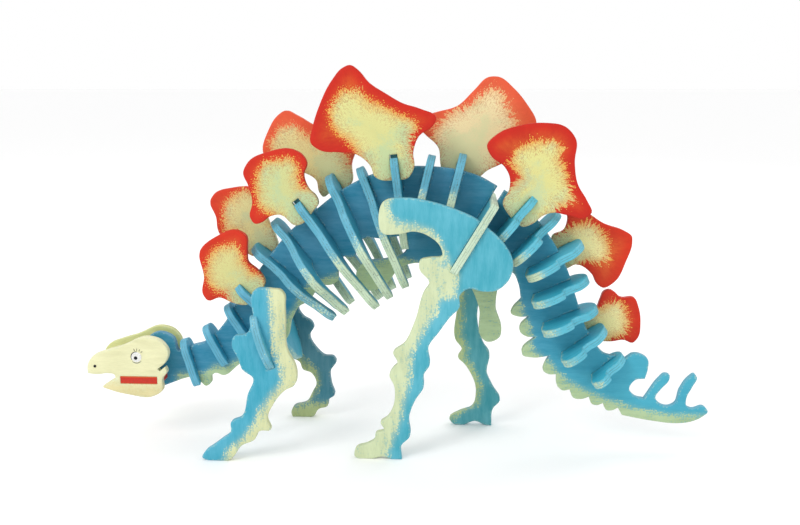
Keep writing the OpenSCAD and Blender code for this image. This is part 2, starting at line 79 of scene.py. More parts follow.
# Areas painted cream over the blue, as (x, z) outlines on the lengthwise sheets.
CREAM_AREAS = {
    "spine": [
        # underside of the tail
        [(45, 74), (47, 62), (50, 54), (53, 47), (53, 40), (61, 34), (65, 29), (69, 26),
         (75, 23), (83, 19.5), (91, 16.5), (99, 14.5), (109, 13), (125, 13), (125, 6),
         (90, 8), (60, 20), (42, 35), (41, 60)],
        # prong behind the hip
        [(29, 64), (44, 66), (45, 38), (30, 38)],
        # prong under the belly
        [(-19, 60), (-18, 75), (-8, 74), (0, 76), (7, 74), (12, 71), (10, 64), (0, 58)],
        # chest
        [(-24, 69), (-20, 62), (-36, 50), (-46, 36), (-60, 36), (-60, 42), (-50, 43), (-42, 54),
         (-35, 64)],
        # throat
        [(-64, 33), (-70, 29.5), (-75, 30), (-79, 26), (-90, 26), (-90, 18), (-60, 18)],
    ],
    "front_leg_left": [
        [(-45.5, 72), (-45, 57), (-44, 45), (-42, 39), (-41.5, 32), (-46, 27), (-50.5, 20),
         (-52.5, 15), (-57, 9.5), (-63, 4), (-66, -2), (-40, -2), (-28, 30), (-30, 72)],
    ],
    "front_leg_right": [
        [(-62, 30), (-50, 31), (-45, 27.5), (-41, 24), (-37, 20), (-36.5, 15.5), (-39, 10),
         (-41, 8), (-50, 7), (-52, -2), (-56, 10)],
        [(-62, 50), (-57, 50), (-55, 44), (-52, 36), (-60, 30)],
        [(-70, 3.5), (-45, 4), (-36, 6), (-28, 5), (-28, -2), (-70, -2)],
    ],
    "hind_leg_left": [
        [(6, 84), (13, 82), (18, 79), (19, 70), (15.5, 60), (10.5, 51), (6.5, 43), (6, 35),
         (4.5, 28), (2.5, 18), (0, 10), (-2, 5), (-4, -2), (-20, -2), (-20, 20), (-8, 40),
         (2, 60), (4, 75)],
        [(-8, 105), (-1, 104), (-2.5, 100), (-2, 96), (2, 92.5), (8, 92), (14, 90), (17, 86),
         (20, 80), (17, 78), (10, 85), (-8, 86)],
        [(17, 75), (21, 77), (24, 73), (23, 66), (18, 65)],
    ],
    "hind_leg_right": [
        [(20, 62), (26, 58), (25.5, 40), (28, 34), (27, 30), (30, 26), (34, 17), (33, 10),
         (28, 8), (24, 5), (18, -2), (16, 10), (20, 40)],
        [(-8, 105), (-1, 104), (-2.5, 100), (-2, 96), (2, 92.5), (8, 92), (14, 90), (17, 86),
         (20, 80), (17, 78), (10, 85), (-8, 86)],
    ],
}

# Where the red of each back plate ends and its yellow core begins, as (x, z) outlines.
CORES = {
    "plate_left_1": [(-74, 75), (-72, 79), (-69, 81), (-64, 82), (-62, 80), (-60, 75),
                     (-57, 71), (-52, 69), (-50, 64), (-58, 56), (-65, 57), (-67, 63),
                     (-71, 64), (-74, 67), (-75, 71)],
    "plate_left_2": [(-53, 111), (-51, 114), (-47, 115), (-41, 116), (-38, 113), (-38, 109),
                     (-37, 105), (-31, 104), (-28, 99), (-32, 94), (-37, 88), (-42, 89),
                     (-47, 94), (-51, 96), (-53, 98), (-54, 102), (-54, 107)],
    "plate_left_3": [(-20, 142), (-14, 142), (-10, 138), (-5, 136), (1, 133), (6, 131),
                     (8, 128), (6, 125), (5.5, 120), (8, 112), (8, 106), (-10, 106),
                     (-11, 114), (-14, 118), (-17, 122), (-21, 125), (-24, 129), (-25, 134),
                     (-23, 138)],
    "plate_left_4": [(47, 120), (50, 122), (55, 123), (60, 123), (63, 120), (63, 116),
                     (65, 110), (67, 105), (68, 101), (63, 99), (60, 94), (53, 89),
                     (47, 88), (40, 95), (40, 101), (44, 105), (47, 107), (48, 109),
                     (46, 113), (44, 116)],
    "plate_right_1": [(-70, 97), (-68, 99), (-63, 102), (-59, 101), (-55, 99), (-54, 96),
                      (-52, 90), (-48, 82), (-46, 79), (-56, 73), (-64, 76), (-66, 85),
                      (-71, 86), (-71, 92)],
    "plate_right_2": [(-50, 123), (-47, 127), (-42, 128), (-38, 125), (-33, 122), (-25, 120),
                      (-21, 116), (-18, 110), (-16, 106), (-22, 98), (-31, 96), (-33, 102),
                      (-36, 106), (-40, 108), (-46, 112), (-50, 116), (-51, 120)],
    "plate_right_3": [(17, 129), (20, 132), (23, 134), (30, 137), (34, 141), (38, 143),
                      (41, 141), (43, 135), (46, 130), (45, 124), (43, 118), (38, 112),
                      (34, 104), (17, 103), (14, 113), (15, 120), (14, 125)],
    "plate_right_4": [(67, 86), (70, 89), (74, 89), (77, 90), (81, 86), (83, 84), (84, 80),
                      (84, 76), (80, 74), (76, 75), (72, 73), (67, 69), (61, 72), (59, 84)],
    "plate_right_5": [(83, 55), (86, 57), (89, 58), (91, 56), (92, 53), (93, 50), (92, 45),
                      (87, 43), (83, 40), (76, 41), (73, 48), (78, 53)],
}


# ---- outlines ----

def cad_triangles(node):
    """A node's triangles, as an array of three corners each."""
    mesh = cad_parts[node].data
    mesh.calc_loop_triangles()
    places = np.empty(len(mesh.vertices) * 3, np.float32)
    corners = np.empty(len(mesh.loop_triangles) * 3, np.int32)
    mesh.vertices.foreach_get("co", places)
    mesh.loop_triangles.foreach_get("vertices", corners)
    return places.reshape(-1, 3)[corners.reshape(-1, 3)].astype(float) / MM


def sheet_axes(tris):
    """A sheet's own axes, as rows: across it, up it, and out of its face.

    Its two faces outweigh its cut edges, so the direction that the face normals share
    most area with is the way through the sheet.
    """
    cross = np.cross(tris[:, 1] - tris[:, 0], tris[:, 2] - tris[:, 0])
    area = np.linalg.norm(cross, axis=1)
    cross, area = cross[area > 1e-9], area[area > 1e-9]
    spread = (cross / area[:, None]).T @ cross
    out = np.linalg.eigh(spread)[1][:, -1]
    lead = 2 if abs(out[2]) > 0.99 else 1 if abs(out[1]) > 0.5 else 0
    wanted = (1, -1, 1)[lead]
    out = out * wanted * np.sign(out[lead])
    up = np.array((0.0, 1.0, 0.0)) if lead == 2 else np.array((0.0, 0.0, 1.0))
    up = up - out * (up @ out)
    up /= np.linalg.norm(up)
    return np.array((np.cross(up, out), up, out))


def face_loops(tris, axes):
    """The closed outlines of a sheet's face, with the sheet on the left of each."""
    cross = np.cross(tris[:, 1] - tris[:, 0], tris[:, 2] - tris[:, 0])
    length = np.linalg.norm(cross, axis=1)
    facing = (cross @ axes[2]) > 0.99 * np.maximum(length, 1e-9)
    flat = tris[facing] @ axes[:2].T
    keys = [[tuple(np.round(p, 3)) for p in t] for t in flat]
    edges = {(t[i], t[(i + 1) % 3]) for t in keys for i in range(3)}
    after = {a: b for a, b in edges if (b, a) not in edges and a != b}
    loops = []
    while after:
        start = next(iter(sorted(after)))
        loop = [start]
        here = after.pop(start)
        while here != start:
            loop.append(here)
            here = after.pop(here)
        loops.append(np.array(loop))
    return loops


def refine(loop):
    """The outline with more points, and which of them are corners."""
    low, high = loop.min(0), loop.max(0)
    loop = loop[np.linalg.norm(loop - np.roll(loop, 1, 0), axis=1) > SHORTEST]
    back, ahead = loop - np.roll(loop, 1, 0), np.roll(loop, -1, 0) - loop
    lb, la = np.linalg.norm(back, axis=1), np.linalg.norm(ahead, axis=1)
    turn = np.arctan2(back[:, 0] * ahead[:, 1] - back[:, 1] * ahead[:, 0], (back * ahead).sum(1))
    corner = np.abs(turn) > CORNER_TURN
    slope = (back * (la / lb)[:, None] + ahead * (lb / la)[:, None]) / (la + lb)[:, None]
    points, corners = [], []
    for i in range(len(loop)):
        j = (i + 1) % len(loop)
        straight = ahead[i] / la[i]
        u = straight if corner[i] else slope[i]
        v = straight if corner[j] else slope[j]
        steps = max(1, math.ceil(la[i] / OUTLINE_STEP))
        for k in range(steps):
            t = k / steps
            s = 1 - t
            points.append(
                loop[i] * (s * s * (1 + 2 * t)) + loop[j] * (t * t * (3 - 2 * t))
                + u * (la[i] * s * s * t) - v * (la[i] * s * t * t)
            )
            corners.append(bool(corner[i] and k == 0))
    return np.clip(points, low, high), np.array(corners)


def inward(points):
    """The mitred direction into the sheet at each point of an outline."""
    back, ahead = points - np.roll(points, 1, 0), np.roll(points, -1, 0) - points
    back /= np.linalg.norm(back, axis=1)[:, None]
    ahead /= np.linalg.norm(ahead, axis=1)[:, None]
    left = (back + ahead)[:, ::-1] * (-1, 1)
    left /= np.maximum(np.linalg.norm(left, axis=1), 1e-6)[:, None]
    half = (left * (ahead[:, ::-1] * (-1, 1))).sum(1)
    return left / np.maximum(half, 0.6)[:, None]


def inside(places, loops):
    """Which places are inside the outlines, holes left out."""
    hit = np.zeros(len(places), bool)
    x, y = places[:, :1], places[:, 1:]
    for loop in loops:
        a, b = loop, np.roll(loop, -1, 0)
        over = (a[:, 1] > y) != (b[:, 1] > y)
        rise = np.where(a[:, 1] == b[:, 1], 1e-12, b[:, 1] - a[:, 1])
        at = a[:, 0] + (y - a[:, 1]) * (b[:, 0] - a[:, 0]) / rise
        hit ^= ((over & (x < at)).sum(1) % 2).astype(bool)
    return hit


def distance(places, loops):
    """How far each place is from the nearest outline."""
    best = np.full(len(places), np.inf)
    for loop in loops:
        for a, b in zip(loop, np.roll(loop, -1, 0)):
            d = b - a
            t = np.clip((places - a) @ d / max(d @ d, 1e-12), 0, 1)
            best = np.minimum(best, np.linalg.norm(places - a - t[:, None] * d, axis=1))
    return best


def depth_in(places, area):
    """How far inside an area each place is; less than 0 outside it."""
    loop = [np.array(area, float)]
    return distance(places, loop) * np.where(inside(places, loop), 1, -1)


def smooth(low, high, values):
    t = np.clip((values - low) / (high - low), 0, 1)
    return t * t * (3 - 2 * t)


# ---- sheets ----

def face_grid(loops, rng):
    """Evenly spread points for the inside of a face, and their distance from its edge."""
    low = np.min([p.min(0) for p in loops], 0)
    high = np.max([p.max(0) for p in loops], 0)
    rows = np.arange(low[1], high[1], FACE_STEP * ROW_SHARE)
    grid = np.array([
        (x + (i % 2) * FACE_STEP / 2, y)
        for i, y in enumerate(rows) for x in np.arange(low[0], high[0], FACE_STEP)
    ])
    grid += rng.uniform(-JITTER, JITTER, grid.shape) * FACE_STEP
    grid = grid[inside(grid, loops)]
    rim = distance(grid, loops)
    kept = rim > RIM_RADIUS + ROOM_SHARE * FACE_STEP
    return grid[kept], rim[kept]


def eased(loops):
    """How far the face's outline draws in at each point, as a share of the rim's radius.

    It is less than 1 only where the sheet narrows to a point.
    """
    shares = []
    for points in loops:
        direction, share = inward(points), np.ones(len(points))
        for _ in range(EASE_ROUNDS):
            near = distance(points + direction * (share * RIM_RADIUS)[:, None], loops)
            share[near < EASE_FIT * RIM_RADIUS * share] *= EASE_CUT
        shares.append(share)
    return shares


def triangulate(rings, grid):
    """Triangles over the face between the rings, as numbers into rings, then grid."""
    # in single precision, as the triangulation is
    rings = [np.float32(ring).astype(float) for ring in rings]
    places = np.vstack([*rings, np.float32(grid).astype(float)])
    edges, first = [], 0
    for ring in rings:
        n = len(ring)
        edges += [(first + i, first + (i + 1) % n) for i in range(n)]
        first += n
    found = delaunay_2d_cdt([Vector(p) for p in places], edges, [], 0, 1e-5, True)
    verts, faces, source = np.array([tuple(v) for v in found[0]]), found[2], found[3]
    number = [
        s[0] if s else int(np.argmin(np.linalg.norm(places - v, axis=1)))
        for s, v in zip(source, verts)
    ]
    faces = [tuple(number[i] for i in f) for f in faces]
    middles = np.array([places[list(f)].mean(0) for f in faces])
    along = set(edges)
    kept = []
    for face, within in zip(faces, inside(middles, rings)):
        sides = set(zip(face, face[1:] + face[:1]))
        against = {(b, a) for a, b in sides}
        # a triangle on an outline is inside if it runs the outline's own way
        if len(set(face)) == 3 and (sides & along or (within and not against & along)):
            kept.append(face)
    return kept


def build_sheet(node):
    """The node's sheet again, finer: its mesh and what the paint needs to know of it."""
    rng = np.random.default_rng([SEED, *node.encode()])
    tris = cad_triangles(node)
    axes = sheet_axes(tris)
    through = tris.reshape(-1, 3) @ axes[2]
    middle, half = (through.max() + through.min()) / 2, (through.max() - through.min()) / 2
    loops = [refine(loop) for loop in face_loops(tris, axes)]
    outlines = [points for points, _ in loops]
    r = RIM_RADIUS
    slant = r * (1 - math.sqrt(0.5))
    ply = half / 3
    # rows round the cut edge, from one face to the other: inset, height
    rows = [
        (r, half), (slant, half - slant), (0, half - r), (0, ply), (PLY_SINK, ply - PLY_STEP),
        (PLY_SINK, PLY_STEP - ply), (0, -ply), (0, r - half), (slant, slant - half), (r, -half),
    ]
    grid, grid_rim = face_grid(outlines, rng)
    shares = eased(outlines)
    places, heights, corner, row_of, rims = [], [], [], [], []
    first_of = []  # the first vertex of each row of each outline
    for (points, corners), share in zip(loops, shares):
        direction = inward(points) * share[:, None]
        first_of.append([])
        for k, (inset, height) in enumerate(rows):
            first_of[-1].append(sum(map(len, places)))
            places.append(points + direction * inset)
            heights.append(np.full(len(points), height))
            corner.append(corners)
            row_of.append(np.full(len(points), k))
            rims.append(np.full(len(points), r if k in (0, len(rows) - 1) else 0.0))
    count = sum(map(len, places))
    for side in (half, -half):
        places.append(grid)
        heights.append(np.full(len(grid), side))
        corner.append(np.zeros(len(grid), bool))
        row_of.append(np.full(len(grid), -1))
        rims.append(grid_rim)
    flat, height = np.vstack(places), np.concatenate(heights)
    corner, row_of, rim = map(np.concatenate, (corner, row_of, rims))
    rings = [p + inward(p) * (r * share)[:, None] for p, share in zip(outlines, shares)]
    triangles = triangulate(rings, grid)
    faces = []
    last = len(rows) - 1
    for row, first_grid, turned in ((0, count, False), (last, count + len(grid), True)):
        numbers = np.concatenate([
            *(np.arange(len(p)) + first_of[i][row] for i, p in enumerate(outlines)),
            np.arange(len(grid)) + first_grid,
        ])
        for t in triangles:
            face = [int(numbers[i]) for i in t]
            faces.append(face[::-1] if turned else face)
    for i, points in enumerate(outlines):
        n = len(points)
        for k in range(last):
            top, low = first_of[i][k], first_of[i][k + 1]
            for a in range(n):
                b = (a + 1) % n
                faces.append([top + b, top + a, low + a, low + b])
    solid = flat @ axes[:2] + np.outer(height + middle, axes[2])
    mesh = bpy.data.meshes.new(node + "_sheet")
    mesh.from_pydata([tuple(p) for p in solid * MM], [], faces)
    mesh.polygons.foreach_set("use_smooth", np.ones(len(faces), bool))
    ends = np.empty(len(mesh.edges) * 2, np.int32)
    mesh.edges.foreach_get("vertices", ends)
    ends = ends.reshape(-1, 2)
    # the cut edge turns sharply at a corner of the outline
    upright = (np.abs(row_of[ends[:, 0]] - row_of[ends[:, 1]]) == 1) & corner[ends].all(1)
    mesh.edges.foreach_set("use_edge_sharp", upright & (row_of[ends].min(1) >= 0))
    piece = bpy.data.objects.new(node + "_sheet", mesh)
    bpy.context.scene.collection.objects.link(piece)
    return {
        "piece": piece, "flat": flat, "height": height, "half": half, "rim": rim,
        "wall": (row_of > 0) & (row_of < last),
    }


def keep(sheet, name, values, kind="FLOAT"):
    """Keeps one value a vertex for the materials."""
    data = sheet["piece"].data.attributes.new(name, kind, "POINT").data
    key = "vector" if kind == "FLOAT_VECTOR" else "value"
    data.foreach_set(key, np.ascontiguousarray(values, np.float32).ravel())


def keep_marks(sheet, node):
    """What every painted sheet keeps: where it is on the sheet, and how near its edge."""
    rng = np.random.default_rng([SEED + 1, *node.encode()])
    spot = np.column_stack([sheet["flat"], sheet["height"]])
    spot += rng.uniform(-SPOT_SHIFT, SPOT_SHIFT, 3)
    keep(sheet, "spot", spot, "FLOAT_VECTOR")
    keep(sheet, "rim", sheet["rim"])
    keep(sheet, "edge", sheet["wall"].astype(float))
    keep(sheet, "layer", sheet["height"] / sheet["half"])
    keep(sheet, "cream", cream_share(sheet, node))
    tailward = np.zeros(len(spot))
    if node == "spine":
        tailward = smooth(*TAIL_FADE, sheet["flat"][:, 0])
    keep(sheet, "pale", tailward)


def up_share(sheet):
    """How far up its sheet each vertex is, from 0 to 1."""
    up = sheet["flat"][:, 1]
    return (up - up.min()) / (up.max() - up.min())


def cream_share(sheet, node):
    """Where cream lies over the body's blue, from 0 to 1."""
    if node in CREAM_AREAS:
        depth = np.max([depth_in(sheet["flat"], area) for area in CREAM_AREAS[node]], 0)
        return smooth(*CREAM_FADE, depth)
    share = up_share(sheet)
    edge = np.where(sheet["wall"], 1.0, 1 - smooth(0.1, 0.9, sheet["rim"]))
    if node.startswith("head"):
        return 1 - smooth(0.0, 0.4, share)
    if node.startswith("rib"):
        return edge * (1 - smooth(0.30, 0.62, share)) * (0.3 if node == "rib_1" else 1)
    if node == "hip":
        return edge * 0.95
    if node == "shoulder":
        return edge * (0.1 + 0.4 * (1 - smooth(0.1, 0.45, share)))
    if node.startswith("tail"):
        strength = 0.9 if node in ("tail_2", "tail_3") else 0.55
        return edge * strength * (1 - smooth(0.08, 0.4, share))
    return edge * 0.12


def keep_core(sheet, node):
    """What a back plate keeps: its depth inside its core, its strokes, and its stem."""
    flat, core = sheet["flat"], CORES[node]
    centre = np.mean(core, 0)
    way = flat - centre
    reach = np.linalg.norm(way, axis=1)
    turn = np.arctan2(way[:, 1], way[:, 0])
    carrier = np.mean(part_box(CARRIERS[node]), 0)[[0, 2]] / MM - centre
    down = way @ (carrier / np.linalg.norm(carrier))
    keep(sheet, "depth", depth_in(flat, core))
    keep(sheet, "stroke", np.column_stack([
        np.cos(turn) * STROKE_TURN, np.sin(turn) * STROKE_TURN, reach * STROKE_REACH,
    ]), "FLOAT_VECTOR")
    keep(sheet, "stem", smooth(-0.1, 0.85, down / down.max()))


# ---- paint ----

def colour(red, green, blue):
    """A paint's colour from the 0 to 255 scale, as the linear one of the shaders."""
    scaled = np.array((red, green, blue)) / 255
    linear = np.where(scaled <= 0.04045, scaled / 12.92, ((scaled + 0.055) / 1.055) ** 2.4)
    return (*(linear * PAINT_LIGHT).tolist(), 1.0)


def shade(paint, share):
    """The paint with that share of its light."""
    return (*(c * share for c in paint[:3]), 1.0)


def tint(paint, share):
    """The paint with that share of white in it."""
    return (*(c + (1 - c) * share for c in paint[:3]), 1.0)


def paint_between(a, b, share):
    """The paint that is that share of the way from a to b."""
    return tuple(x + (y - x) * share for x, y in zip(a, b))


class Paint:
    """A material in the making, with short names for the nodes that it is mixed from."""

    def __init__(self, name):
        self.material = bpy.data.materials.new(name)
        self.material.use_nodes = True
        self.nodes = self.material.node_tree.nodes
        self.links = self.material.node_tree.links
        self.nodes.clear()

    def feed(self, socket, value):
        if isinstance(value, bpy.types.NodeSocket):
            self.links.new(value, socket)
        else:
            socket.default_value = value

    def kept(self, name, kind="Fac"):
        made = self.nodes.new("ShaderNodeAttribute")
        made.attribute_name = name
        return made.outputs[kind]

    def maths(self, operation, a, b=0.0):
        made = self.nodes.new("ShaderNodeMath")
        made.operation = operation
        self.feed(made.inputs[0], a)
        self.feed(made.inputs[1], b)
        return made.outputs[0]

    def total(self, *terms):
        """The sum of (value, weight) terms, each value taken from its mean of 0.5."""
        whole = 0.0
        for value, weight in terms:
            part = self.maths("MULTIPLY", self.maths("SUBTRACT", value, 0.5), weight)
            whole = self.maths("ADD", part, whole)
        return whole

    def span(self, value, low, high, start=0.0, end=1.0):
        """The value eased from start, at low, to end, at high."""
        made = self.nodes.new("ShaderNodeMapRange")
        made.interpolation_type = "SMOOTHSTEP"
        for key, number in zip(("Value", "From Min", "From Max", "To Min", "To Max"),
                               (value, low, high, start, end)):
            self.feed(made.inputs[key], number)
        return made.outputs["Result"]

    def noise(self, where, scale, detail=3.0, stretch=(1, 1, 1)):
        scaled = self.nodes.new("ShaderNodeVectorMath")
        scaled.operation = "MULTIPLY"
        self.feed(scaled.inputs[0], where)
        scaled.inputs[1].default_value = [s * scale for s in stretch]
        made = self.nodes.new("ShaderNodeTexNoise")
        self.feed(made.inputs["Vector"], scaled.outputs[0])
        made.inputs["Scale"].default_value = 1.0
        made.inputs["Detail"].default_value = detail
        return made.outputs[0]

    def mix(self, share, a, b):
        made = self.nodes.new("ShaderNodeMix")
        made.data_type = "RGBA"
        self.feed(made.inputs[0], share)
        self.feed(made.inputs[6], a)
        self.feed(made.inputs[7], b)
        return made.outputs[2]

    def ramp(self, value, *stops):
        """The colour for the value, from (value, colour) stops."""
        low, high = stops[0][0], stops[-1][0]
        made = self.nodes.new("ShaderNodeMapRange")
        for key, number in zip(("Value", "From Min", "From Max"), (value, low, high)):
            self.feed(made.inputs[key], number)
        ramp = self.nodes.new("ShaderNodeValToRGB")
        self.feed(ramp.inputs[0], made.outputs["Result"])
        elements = ramp.color_ramp.elements
        for element, (at, paint) in zip([elements[0], elements[1]], (stops[0], stops[-1])):
            element.position = (at - low) / (high - low)
            element.color = paint
        for at, paint in stops[1:-1]:
            element = elements.new((at - low) / (high - low))
            element.color = paint
        return ramp.outputs[0]

    def done(self, base, roughness, relief, depth=BRUSH_RELIEF):
        """The finished material; the relief, from 0 to 1, stands depth metres proud."""
        shader = self.nodes.new("ShaderNodeBsdfPrincipled")
        shader.inputs["Specular IOR Level"].default_value = 0.25
        bump = self.nodes.new("ShaderNodeBump")
        bump.inputs["Strength"].default_value = 0.8
        bump.inputs["Distance"].default_value = depth
        self.feed(bump.inputs["Height"], relief)
        self.feed(shader.inputs["Base Color"], base)
        self.feed(shader.inputs["Roughness"], roughness)
        self.feed(shader.inputs["Normal"], bump.outputs[0])
        out = self.nodes.new("ShaderNodeOutputMaterial")
        self.feed(out.inputs["Surface"], shader.outputs[0])
        return self.material


GRAIN = {"up": (1, 0.16, 1), "across": (0.16, 1, 1)}
SPECK = colour(82, 84, 62)
WORN = colour(205, 222, 196)
PALE_BLUE = colour(74, 178, 200)


def ply_look(paint, base, spot, grain, specks, glue=0.45, bare=WORN):
    """Base with the sheet's plies and dark specks on its cut edge, and worn rims."""
    edge, layer, rim = paint.kept("edge"), paint.kept("layer"), paint.kept("rim")
    off_line = paint.maths("SUBTRACT", paint.maths("ABSOLUTE", layer), GLUE_LINE)
    off_line = paint.maths("ABSOLUTE", off_line)
    broken = paint.span(paint.noise(spot, 0.9, 2, GRAIN[grain]), 0.35, 0.6)
    line = paint.maths("MULTIPLY", paint.span(off_line, 0.03, 0.12, 1, 0), edge)
    line = paint.maths("MULTIPLY", paint.maths("MULTIPLY", line, broken), glue)
    base = paint.mix(line, base, SPECK)
    worn = paint.span(rim, 0.2, 0.9, 1, 0)
    worn = paint.maths("MULTIPLY", worn, paint.maths("SUBTRACT", 1.0, edge))
    worn = paint.maths("MULTIPLY", worn, paint.span(paint.noise(spot, 1.1, 3), 0.45, 0.7, 0, 0.5))
    base = paint.mix(worn, base, bare)
    grains = paint.noise(spot, 1.9, 4)
    speck = paint.maths("MULTIPLY", paint.span(grains, 0.6, 0.7), specks)
    speck = paint.maths("MULTIPLY", speck, paint.span(edge, 0, 1, 0.25, 1))
    return paint.mix(speck, base, SPECK), grains


def body_paint(name, blue, cream, grain, specks):
    """Brushed blue that gives way to dry-brushed cream, on the ply of a body sheet."""
    paint = Paint(name)
    spot = paint.kept("spot", "Vector")
    cover = paint.noise(spot, 0.07, 2)
    stroke = paint.noise(spot, 0.5, 3, GRAIN[grain])
    hair = paint.noise(spot, 2.8, 2, GRAIN[grain])
    fleck = paint.noise(spot, 1.5, 5)
    tone = paint.total((cover, 1.0), (stroke, 0.9), (hair, 0.5))
    base = paint.mix(paint.span(tone, -0.6, 0.6), shade(blue, 0.78), tint(blue, 0.08))
    paler = paint.maths("MULTIPLY", paint.kept("pale"), paint.span(tone, -0.6, 0.6, 0.55, 0.95))
    base = paint.mix(paler, base, PALE_BLUE)
    edge_light = paint.maths("MULTIPLY", paint.kept("edge"), EDGE_TINT)
    base = paint.mix(edge_light, base, tint(blue, 0.5))
    creamy = paint.mix(paint.span(tone, -0.5, 0.5), shade(cream, 0.8), tint(cream, 0.08))
    share = paint.kept("cream")
    base = paint.mix(paint.span(share, 0.0, 0.9, 0, 0.6), base, creamy)
    mottle = paint.total((cover, 0.8), (stroke, 1.0), (hair, 0.8), (fleck, 2.2))
    ragged = paint.maths("ADD", paint.span(share, 0, 0.2, -0.5, 0), mottle)
    ragged = paint.maths("ADD", paint.maths("MULTIPLY", share, 0.84), ragged)
    base = paint.mix(paint.span(ragged, 0.36, 0.62, 0, 0.95), base, creamy)
    base, grains = ply_look(paint, base, spot, grain, specks)
    roughness = paint.span(hair, 0.3, 0.7, 0.44, 0.6)
    relief = paint.maths("ADD", 0.5, paint.total((stroke, 0.7), (hair, 0.5), (grains, 0.3)))
    return paint.done(base, roughness, relief)


def plate_paint(name, rim, ring, heart, stem, streak, speckle):
    """A back plate's red rim, dry-brushed over its pale core in strokes and flecks."""
    paint = Paint(name)
    spot, strokes = paint.kept("spot", "Vector"), paint.kept("stroke", "Vector")
    depth = paint.kept("depth")
    stroke = paint.noise(strokes, 0.6, 3)
    hair = paint.noise(strokes, 2.8, 3)
    fleck = paint.noise(spot, 1.8, 6)
    cover = paint.noise(spot, 0.13, 3)
    tone = paint.total((cover, 1.5), (stroke, 0.8), (hair, 0.8))
    # the pale core, greener in patches and towards the stem
    wander = paint.total((stroke, 4), (cover, 6), (fleck, 6))
    base = paint.ramp(
        paint.maths("ADD", depth, wander),
        (-3, ring), (0, paint_between(ring, heart, 0.6)), (3, heart), (9, shade(heart, 0.93)),
    )
    greener = paint.maths("ADD", paint.kept("stem"), paint.span(depth, 4, 11, 0, 0.5))
    greener = paint.maths("ADD", greener, paint.total((cover, 3.0), (fleck, 1.0)))
    base = paint.mix(paint.span(greener, 0.0, 0.8, 0, 0.85), base, stem)
    stray = paint.maths("ADD", paint.span(depth, 0, 12, 0.1, -0.12), paint.noise(strokes, 3.2, 4))
    base = paint.mix(paint.span(stray, 0.56, 0.68, 0, 0.55), base, shade(rim, 0.55))
    # the red, solid at the rim
    red = paint.mix(paint.span(paint.kept("rim"), 0.8, 8, 0, 0.3), rim, ring)
    red = paint.mix(paint.span(tone, -0.8, 0.8), shade(rim, 0.8), red)
    cover_value = paint.maths("MULTIPLY", paint.maths("ADD", depth, 0.5), -1 / DRY_BRUSH)
    ragged = paint.maths("ADD", cover_value, paint.total(
        (stroke, 1.7 * streak), (hair, 2.2), (fleck, 2.6 * speckle)))
    wash = paint.maths("ADD", cover_value, paint.total((cover, 1.4), (fleck, 0.8)))
    wash = paint.span(wash, -0.9, 0.5, 0, 0.4)
    base = paint.mix(wash, base, ring)
    base = paint.mix(paint.span(ragged, -0.06, 0.14), base, red)
    base, grains = ply_look(paint, base, spot, "up", 0.15, 0.3, shade(rim, 0.7))
    roughness = paint.span(hair, 0.3, 0.7, 0.42, 0.58)
    relief = paint.maths("ADD", 0.5, paint.total((stroke, 0.6), (hair, 0.5), (grains, 0.3)))
    return paint.done(base, roughness, relief)


def bar_paint(name, red, orange):
    """The mouth's bar: red ends with an orange outline."""
    paint = Paint(name)
    spot = paint.kept("spot", "Vector")
    hair = paint.noise(spot, 1.8, 3)
    near = paint.span(paint.maths("ABSOLUTE", paint.kept("layer")), 0.7, 1.0)
    near = paint.maths("ADD", near, paint.total((hair, 0.6)))
    near = paint.maths("MULTIPLY", near, paint.span(paint.kept("rim"), 0.3, 0.8, 1, 0))
    base = paint.mix(paint.span(hair, 0.42, 0.62, 0, 0.5), red, shade(red, 0.6))
    base = paint.mix(near, base, paint_between(red, orange, 0.6))
    base, grains = ply_look(paint, base, spot, "across", 0.2, 0.1, orange)
    return paint.done(base, paint.span(hair, 0.3, 0.7, 0.42, 0.55), grains)


def dab_paint(name, paint_colour, roughness):
    """A small dab of thicker paint."""
    paint = Paint(name)
    where = paint.nodes.new("ShaderNodeTexCoord").outputs["Object"]
    hair = paint.noise(where, 2200, 2)
    base = paint.mix(paint.span(hair, 0.3, 0.7), shade(paint_colour, 0.8), paint_colour)
    uneven = paint.span(hair, 0.3, 0.7, roughness, roughness + 0.1)
    return paint.done(base, uneven, hair, DAB_RELIEF)


# blue, cream, grain, specks
BODY_PAINTS = {
    # painted shade: the spine's blue is darker than the other sheets' blue, for the shade in the
    # hollows between the cross plates
    "spine": ((16, 142, 178), (178, 204, 150), "across", 0.2),
    "neck": ((30, 168, 204), (176, 214, 190), "up", 0.2),
    "shoulder": ((44, 168, 196), (190, 218, 190), "up", 0.4),
    "rib": ((36, 166, 196), (200, 224, 190), "up", 0.75),
    "hip": ((60, 172, 192), (204, 228, 198), "up", 0.6),
    "tail": ((42, 188, 214), (200, 220, 180), "up", 0.4),
    "front_leg_left": ((48, 172, 200), (220, 224, 168), "up", 0.15),
    # painted shade: the far front leg's blue and cream are darker and duller than the near leg's,
    # for the shade behind the body
    "front_leg_right": ((34, 126, 146), (168, 184, 120), "up", 0.3),
    "hind_leg_left": ((62, 178, 200), (212, 224, 176), "up", 0.15),
    # painted shade: the far hind leg's blue and cream are darker and duller than the near leg's,
    # for the shade behind the body
    "hind_leg_right": ((56, 160, 172), (176, 196, 132), "up", 0.3),
    "head_left": ((238, 236, 186), (232, 220, 160), "across", 0.12),
    # painted shade: the far head plate's cream is darker and more olive than the near plate's, for
    # the shade on the far side
    "head_right": ((222, 226, 148), (206, 200, 116), "across", 0.2),
}

